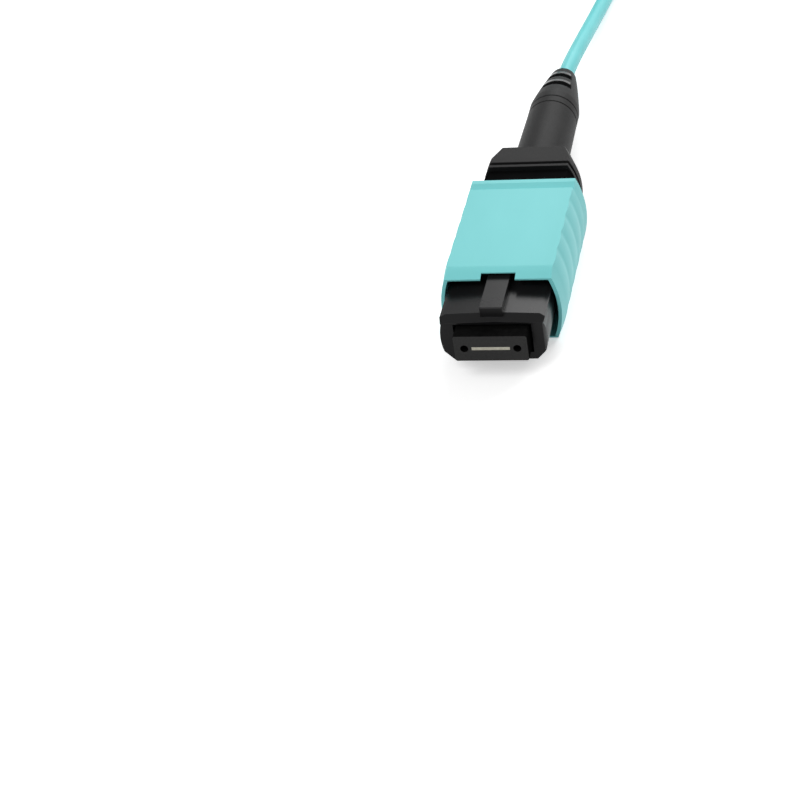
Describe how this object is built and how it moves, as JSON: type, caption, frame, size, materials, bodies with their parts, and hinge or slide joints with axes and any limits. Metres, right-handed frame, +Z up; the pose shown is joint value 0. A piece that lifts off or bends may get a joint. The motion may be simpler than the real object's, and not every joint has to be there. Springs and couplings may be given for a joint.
{
  "type": "multi-fibre push-pull connector",
  "caption": "Rectangular push-pull fibre connector: keyed black nose with a guide-hole ferrule, sliding aqua sleeve, slotted strain-relief boot and a tied pigtail.",
  "frame": {"origin": "middle of the ferrule's end face, on the optical axis", "axes": "-Y out of the plug towards its mate, +Y along the cable, +Z up through the key, +X to the right seen from the cable's end with the key up"},
  "size_m": [0.017, 0.1233, 0.0103],
  "materials": {
    "ferrule_resin": "ground",
    "fibre_glass": "polished",
    "adhesive": "cured",
    "ferrule_rubber": "matt",
    "ribbon_coating": "smooth",
    "keeper_plastic": "moulded",
    "spring_steel": "drawn",
    "housing_plastic": "satin",
    "sleeve_plastic": "satin",
    "yarn": "fibrous",
    "crimp_metal": "plated",
    "boot_rubber": "satin",
    "cable_jacket": "satin",
    "tie_fabric": "woven"
  },
  "bodies": {
    "connector": {"inner_housing": "housing_plastic", "spring_push": "housing_plastic", "ferrule_spring": "spring_steel", "fibre_ribbon": "ribbon_coating", "left_return_spring": "spring_steel", "right_return_spring": "spring_steel", "aramid_yarn": "yarn", "crimp_sleeve": "crimp_metal", "strain_relief_boot": "boot_rubber", "cable_stub": "cable_jacket", "cable_lead": "cable_jacket", "cable_hank": "cable_jacket", "hank_tie": "tie_fabric"},
    "sleeve": {"coupling_sleeve": "sleeve_plastic"},
    "ferrule_group": {"ferrule": "ferrule_resin", "bare_fibres": "fibre_glass", "window_adhesive": "adhesive", "ferrule_boot": "ferrule_rubber", "pin_keeper": "keeper_plastic"}
  },
  "joints": [
    {"name": "sleeve_slide", "type": "slide", "parent": "connector", "child": "sleeve", "axis": [0, 1, 0], "range_m": [0, 0.0025], "stiffness_N_per_m": 500, "springref_m": -0.003, "deforming": ["left_return_spring", "right_return_spring"]},
    {"name": "ferrule_slide", "type": "slide", "parent": "connector", "child": "ferrule_group", "axis": [0, 1, 0], "range_m": [0, 0.001], "stiffness_N_per_m": 2000, "springref_m": -0.004, "deforming": ["ferrule_spring", "fibre_ribbon"]}
  ]
}
